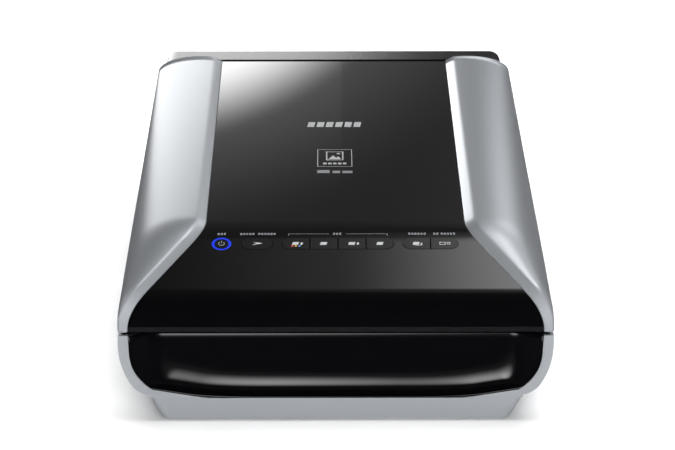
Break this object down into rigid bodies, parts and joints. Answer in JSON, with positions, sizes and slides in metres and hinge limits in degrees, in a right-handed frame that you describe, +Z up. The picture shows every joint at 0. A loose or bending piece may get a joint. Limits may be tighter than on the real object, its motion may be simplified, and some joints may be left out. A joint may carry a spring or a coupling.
{
  "type": "flatbed scanner",
  "caption": "Flatbed document and film scanner with a thick lifting lid on rising hinges, a sloped button row, a glass platen and a belt-driven optical carriage.",
  "frame": {"origin": "middle of the footprint, on the surface that the rubber feet stand on", "axes": "+Z up, +Y from the front finger recess towards the hinges and sockets, +X to the right seen from the front"},
  "size_m": [0.272, 0.48, 0.1105],
  "materials": {
    "silver_paint": "metallic silver paint on ABS, smooth satin",
    "case_grey": "silver-grey moulded ABS, fine texture",
    "piano_black": "high gloss black, clear coated",
    "satin_black": "satin black moulded plastic",
    "button_black": "semi-gloss black button caps",
    "light_ring": "clear blue light guide",
    "platen_glass": "polished float glass",
    "white_mat": "smooth white sheet",
    "grey_foam": "fine open-cell foam",
    "milky_plastic": "translucent white diffuser",
    "grey_plastic": "grey moulded plastic",
    "nylon": "natural acetal",
    "belt_rubber": "fine ribbed belt",
    "polished_steel": "ground steel rod",
    "sheet_steel": "zinc plated sheet",
    "spring_steel": "zinc plated",
    "board_green": "solder mask on glass-epoxy board",
    "chip_black": "moulded packages",
    "socket_black": "moulded socket bodies",
    "socket_metal": "tinned shell",
    "cable_white": "flat flexible cable",
    "mirror_glass": "first-surface mirror strips",
    "lens_black": "black anodised barrel",
    "foot_rubber": "soft rubber"
  },
  "bodies": {
    "base": {"lower_case": "case_grey", "front_trim": "silver_paint", "finger_recess": "piano_black", "scan_bed": "satin_black", "platen_glass": "platen_glass", "calibration_strip": "white_mat", "guide_rod": "polished_steel", "carriage_rail": "sheet_steel", "gear_bracket": "sheet_steel", "stepper_motor": "sheet_steel", "drive_belt": "belt_rubber", "idler_bracket": "grey_plastic", "tension_spring": "spring_steel", "main_board": "board_green", "board_components": "chip_black", "usb_socket": "socket_metal", "power_socket": "socket_black", "power_pin": "spring_steel", "film_unit_socket": "socket_black", "flat_cable": "cable_white", "hinge_wells": "satin_black", "rubber_feet": "foot_rubber", "case_screws": "spring_steel"},
    "hinge_lift": {"left_hinge_post": "satin_black", "right_hinge_post": "satin_black", "hinge_pins": "polished_steel"},
    "lid": {"lid_frame": "satin_black", "lid_top_panel": "piano_black", "left_side_panel": "silver_paint", "right_side_panel": "silver_paint", "film_window": "milky_plastic", "film_lamp_housing": "grey_plastic", "lid_screws": "spring_steel", "button_board": "board_green", "tact_switches": "chip_black", "power_light_ring": "light_ring", "mat_rails": "satin_black", "hinge_brackets": "sheet_steel"},
    "document_mat": {"mat_board": "white_mat", "mat_foam": "grey_foam"},
    "carriage": {"carriage_chassis": "satin_black", "slider_bushes": "nylon", "carriage_light_bar": "milky_plastic", "carriage_mirrors": "mirror_glass", "lens_barrel": "lens_black", "sensor_board": "board_green"},
    "lock": {"lock_slider": "satin_black"},
    "motor_pinion_body": {"motor_pinion": "nylon"},
    "compound_gear_body": {"compound_gear": "nylon"},
    "drive_pulley_body": {"drive_pulley": "nylon"},
    "idler_pulley_body": {"idler_pulley": "nylon"},
    "power_button_body": {"power_button": "button_black"},
    "auto_scan_button_body": {"auto_scan_button": "button_black"},
    "document_button_1_body": {"document_button_1": "button_black"},
    "document_button_2_body": {"document_button_2": "button_black"},
    "document_button_3_body": {"document_button_3": "button_black"},
    "document_button_4_body": {"document_button_4": "button_black"},
    "copy_button_body": {"copy_button": "button_black"},
    "mail_button_body": {"mail_button": "button_black"}
  },
  "joints": [
    {"name": "hinge_lift_slide", "type": "slide", "parent": "base", "child": "hinge_lift", "axis": [0, 0, 1], "range_m": [0, 0.035]},
    {"name": "lid_hinge", "type": "hinge", "parent": "hinge_lift", "child": "lid", "pos_m": [0, 0.2305, 0.066], "axis": [-1, 0, 0], "range_deg": [0, 90]},
    {"name": "mat_slide", "type": "slide", "parent": "lid", "child": "document_mat", "axis": [0, -1, 0], "range_m": [0, 0.31]},
    {"name": "carriage_slide", "type": "slide", "parent": "base", "child": "carriage", "axis": [0, 1, 0], "range_m": [0, 0.3]},
    {"name": "lock_slide", "type": "slide", "parent": "base", "child": "lock", "axis": [0, 1, 0], "range_m": [0, 0.006]},
    {"name": "power_button_press", "type": "slide", "parent": "lid", "child": "power_button_body", "axis": [0, 0.342, -0.9397], "range_m": [0, 0.0008], "stiffness_N_per_m": 500, "springref_m": -0.001},
    {"name": "auto_scan_button_press", "type": "slide", "parent": "lid", "child": "auto_scan_button_body", "axis": [0, 0.342, -0.9397], "range_m": [0, 0.0008], "stiffness_N_per_m": 500, "springref_m": -0.001},
    {"name": "document_button_1_press", "type": "slide", "parent": "lid", "child": "document_button_1_body", "axis": [0, 0.342, -0.9397], "range_m": [0, 0.0008], "stiffness_N_per_m": 500, "springref_m": -0.001},
    {"name": "document_button_2_press", "type": "slide", "parent": "lid", "child": "document_button_2_body", "axis": [0, 0.342, -0.9397], "range_m": [0, 0.0008], "stiffness_N_per_m": 500, "springref_m": -0.001},
    {"name": "document_button_3_press", "type": "slide", "parent": "lid", "child": "document_button_3_body", "axis": [0, 0.342, -0.9397], "range_m": [0, 0.0008], "stiffness_N_per_m": 500, "springref_m": -0.001},
    {"name": "document_button_4_press", "type": "slide", "parent": "lid", "child": "document_button_4_body", "axis": [0, 0.342, -0.9397], "range_m": [0, 0.0008], "stiffness_N_per_m": 500, "springref_m": -0.001},
    {"name": "copy_button_press", "type": "slide", "parent": "lid", "child": "copy_button_body", "axis": [0, 0.342, -0.9397], "range_m": [0, 0.0008], "stiffness_N_per_m": 500, "springref_m": -0.001},
    {"name": "mail_button_press", "type": "slide", "parent": "lid", "child": "mail_button_body", "axis": [0, 0.342, -0.9397], "range_m": [0, 0.0008], "stiffness_N_per_m": 500, "springref_m": -0.001},
    {"name": "motor_pinion_spin", "type": "hinge", "parent": "base", "child": "motor_pinion_body", "pos_m": [-0.06117, 0.1856, 0.012], "axis": [0, 0, 1], "continuous": true},
    {"name": "compound_gear_spin", "type": "hinge", "parent": "base", "child": "compound_gear_body", "pos_m": [-0.08137, 0.1856, 0.012], "axis": [0, 0, 1], "continuous": true},
    {"name": "drive_pulley_spin", "type": "hinge", "parent": "base", "child": "drive_pulley_body", "pos_m": [-0.098, 0.176, 0.012], "axis": [0, 0, 1], "continuous": true},
    {"name": "idler_pulley_spin", "type": "hinge", "parent": "base", "child": "idler_pulley_body", "pos_m": [-0.098, -0.195, 0.012], "axis": [0, 0, 1], "continuous": true}
  ],
  "couplings": [
    {"joint": "motor_pinion_spin", "follows": "carriage_slide", "rad_per_m": 1995.8},
    {"joint": "compound_gear_spin", "follows": "carriage_slide", "rad_per_m": -498.96},
    {"joint": "drive_pulley_spin", "follows": "carriage_slide", "rad_per_m": 180.18},
    {"joint": "idler_pulley_spin", "follows": "carriage_slide", "rad_per_m": 180.18}
  ]
}
